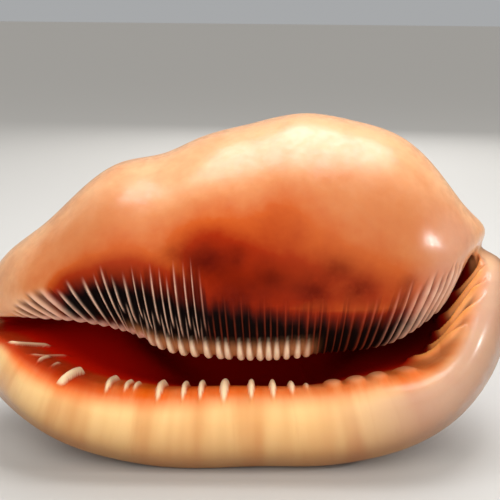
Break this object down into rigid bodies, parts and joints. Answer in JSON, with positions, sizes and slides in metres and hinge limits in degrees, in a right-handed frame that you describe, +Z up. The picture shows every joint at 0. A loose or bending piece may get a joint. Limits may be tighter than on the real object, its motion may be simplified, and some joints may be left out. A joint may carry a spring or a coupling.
{
  "type": "sea shell",
  "caption": "Helmet shell resting on its outer lip, mouth to the front, with a swollen ridged shield, toothed lip, knobbed back and low spire.",
  "frame": {"origin": "centre of the bounding box on the floor that the shell rests on", "axes": "+X towards the apex, -Y towards the mouth's side that faces the viewer, +Z up from the floor to the top of the shield"},
  "size_m": [0.1824, 0.1144, 0.1064],
  "materials": {
    "shell": "glossy porcelain-like shell, peach to orange-red, with a dark ridged band beside the mouth"
  },
  "bodies": {
    "root": {"shell": "shell"}
  },
  "joints": []
}
